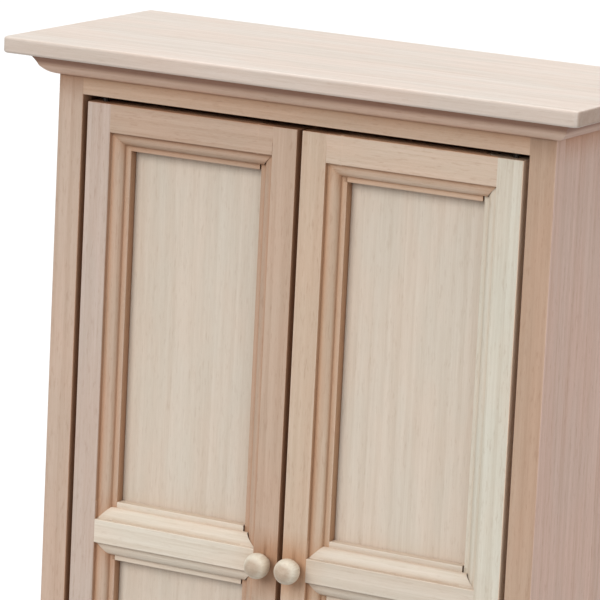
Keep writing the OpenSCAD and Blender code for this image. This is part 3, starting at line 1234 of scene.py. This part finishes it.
@dataclass(frozen=True)
class Sun:
    """A broad, soft light from one direction, the same all over the floor. Its angles are in degrees."""

    name: str
    azimuth: float
    elevation: float
    width: float
    strength: float

    def build(self) -> None:
        """Hang the light."""
        lamp = bpy.data.lights.new(self.name, "SUN")
        lamp.angle = math.radians(self.width)
        lamp.energy = self.strength
        holder = bpy.data.objects.new(self.name, lamp)
        az, el = math.radians(self.azimuth), math.radians(self.elevation)
        away = Vector((math.sin(az) * math.cos(el), -math.cos(az) * math.cos(el), math.sin(el)))
        holder.location = away
        holder.rotation_euler = away.to_track_quat("Z", "Y").to_euler()
        bpy.context.scene.collection.objects.link(holder)


@dataclass
class Viewpoint:
    """The camera: a long lens, a little above the wardrobe and to the right of its front."""

    azimuth: float = 29.08
    elevation: float = 11.33
    roll: float = 2.76
    distance: float = 0.8078
    aim: Vector = field(default_factory=lambda: Vector((-0.01004, 0.00424, 0.13086)))
    lens: float = 272.5
    sensor: float = 36.0
    nearest: float = 0.01
    furthest: float = 50.0

    def build(self) -> None:
        """Set up the camera and make it the scene's own."""
        az, el, roll = (math.radians(a) for a in (self.azimuth, self.elevation, self.roll))
        forward = Vector((-math.sin(az) * math.cos(el), math.cos(az) * math.cos(el), -math.sin(el)))
        level = Vector((math.cos(az), math.sin(az), 0.0))
        right = level * math.cos(roll) + level.cross(forward) * math.sin(roll)
        up = right.cross(forward)
        turn = Matrix((right, up, -forward)).transposed()
        lens = bpy.data.cameras.new("camera")
        lens.lens = self.lens
        lens.sensor_width = self.sensor
        lens.clip_start = self.nearest
        lens.clip_end = self.furthest
        camera = bpy.data.objects.new("camera", lens)
        camera.matrix_world = Matrix.Translation(self.aim - forward * self.distance) @ turn.to_4x4()
        bpy.context.scene.collection.objects.link(camera)
        bpy.context.scene.camera = camera


@dataclass
class Studio:
    """The floor, the light and the camera.

    Bounce_grey and sky are what the floor and the room throw on to the wardrobe. Both look paler than that.
    """

    floor_size: float = 12.0
    floor_grey: float = 0.76
    bounce_grey: float = 0.46
    speck_pitch: float = 40.0
    speck_range: tuple[float, float] = (0.3, 0.7)
    speck_levels: tuple[float, float] = (0.995, 1.005)
    floor_roughness: float = 0.9
    floor_gloss: float = 0.1
    sky: float = 0.30
    suns: tuple[Sun, ...] = (
        Sun("key_light", azimuth=-12.0, elevation=32.0, width=40.0, strength=2.40),
        Sun("top_light", azimuth=-40.0, elevation=86.0, width=60.0, strength=1.52),
        Sun("back_light", azimuth=165.0, elevation=30.0, width=50.0, strength=0.95),
        Sun("fill_light", azimuth=75.0, elevation=25.0, width=50.0, strength=0.94),
    )

    def floor(self) -> None:
        """Lay a plain pale floor."""
        shape = bmesh.new()
        bmesh.ops.create_grid(shape, x_segments=1, y_segments=1, size=self.floor_size / 2)
        mesh = bpy.data.meshes.new("floor")
        shape.to_mesh(mesh)
        shape.free()
        material = bpy.data.materials.new("floor_paint")
        material.use_nodes = True
        w = Wiring(material.node_tree)
        place = w.add("TexCoord").outputs["Object"]
        specks = w.add("TexNoise", Vector=place, Scale=self.speck_pitch, Detail=2.0).outputs["Fac"]
        seen = w.add("LightPath").outputs["Is Camera Ray"]
        grey = w.ramp(seen, 0.0, 1.0, self.bounce_grey, self.floor_grey, "LINEAR")
        level = w.math("MULTIPLY", grey, w.ramp(specks, *self.speck_range, *self.speck_levels))
        shade = w.add("CombineColor", Red=level, Green=level, Blue=level)
        shader = w.add(
            "BsdfPrincipled",
            Base_Color=shade.outputs[0],
            Roughness=self.floor_roughness,
            Specular_IOR_Level=self.floor_gloss,
        )
        w.add("OutputMaterial", Surface=shader.outputs[0])
        mesh.materials.append(material)
        floor = bpy.data.objects.new("floor", mesh)
        bpy.context.scene.collection.objects.link(floor)

    def light(self) -> None:
        """Fill the room with even light and hang the lamps."""
        world = bpy.data.worlds.new("room")
        world.use_nodes = True
        w = Wiring(world.node_tree)
        seen = w.add("LightPath").outputs["Is Camera Ray"]
        strength = w.ramp(seen, 0.0, 1.0, self.sky, 1.0, "LINEAR")
        sky = w.add("Background", Color=(1.0, 1.0, 1.0), Strength=strength)
        w.add("OutputWorld", Surface=sky.outputs[0])
        bpy.context.scene.world = world
        for sun in self.suns:
            sun.build()

    def build(self) -> None:
        """Set up the studio."""
        self.floor()
        self.light()
        Viewpoint().build()
        bpy.context.scene.view_settings.view_transform = "Standard"


# --------------------------------------------------------------------------- main


def main() -> None:
    """Build every sub-assembly in order, then the studio."""
    logging.basicConfig(level=logging.INFO, format="%(name)s: %(message)s")
    shop = Workshop()
    TopAndCornice(shop).build()
    Case(shop).build()
    FaceFrame(shop).build()
    Interior(shop).build()
    # Painted shade on the left hinge stile's moulding, deeper than 0.2 mm behind its face.
    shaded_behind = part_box("left_door_hinge_stile")[0].y + 0.2 * MM
    rose = BareWood(Woods.ROSE, Grain.ALONG_Z, 100, corner=0.12, shaded_behind=shaded_behind)
    hazel = BareWood(Woods.HAZEL, Grain.ALONG_Z, 101)
    # The right hinge stile's faces to the right get a paler tone, painted as light in the gap, and little
    # painted shade.
    ivory = BareWood(
        Woods.IVORY, Grain.ALONG_Z, 200, slit=0.0, corner=0.05, shelter_shade=0.4, lit_right_faces=Woods.CHALK
    )
    fawn = BareWood(Woods.FAWN, Grain.ALONG_Z, 201)
    PanelledDoor(shop, "left_door", 100, rose, hazel, Woods.HAZEL, Woods.CREAM).build()
    PanelledDoor(shop, "right_door", 200, ivory, fawn, Woods.HONEY, Woods.BUFF).build()
    Studio().build()
    LOG.info("%d pieces", len(shop.pieces))


if __name__ == "__main__":
    main()
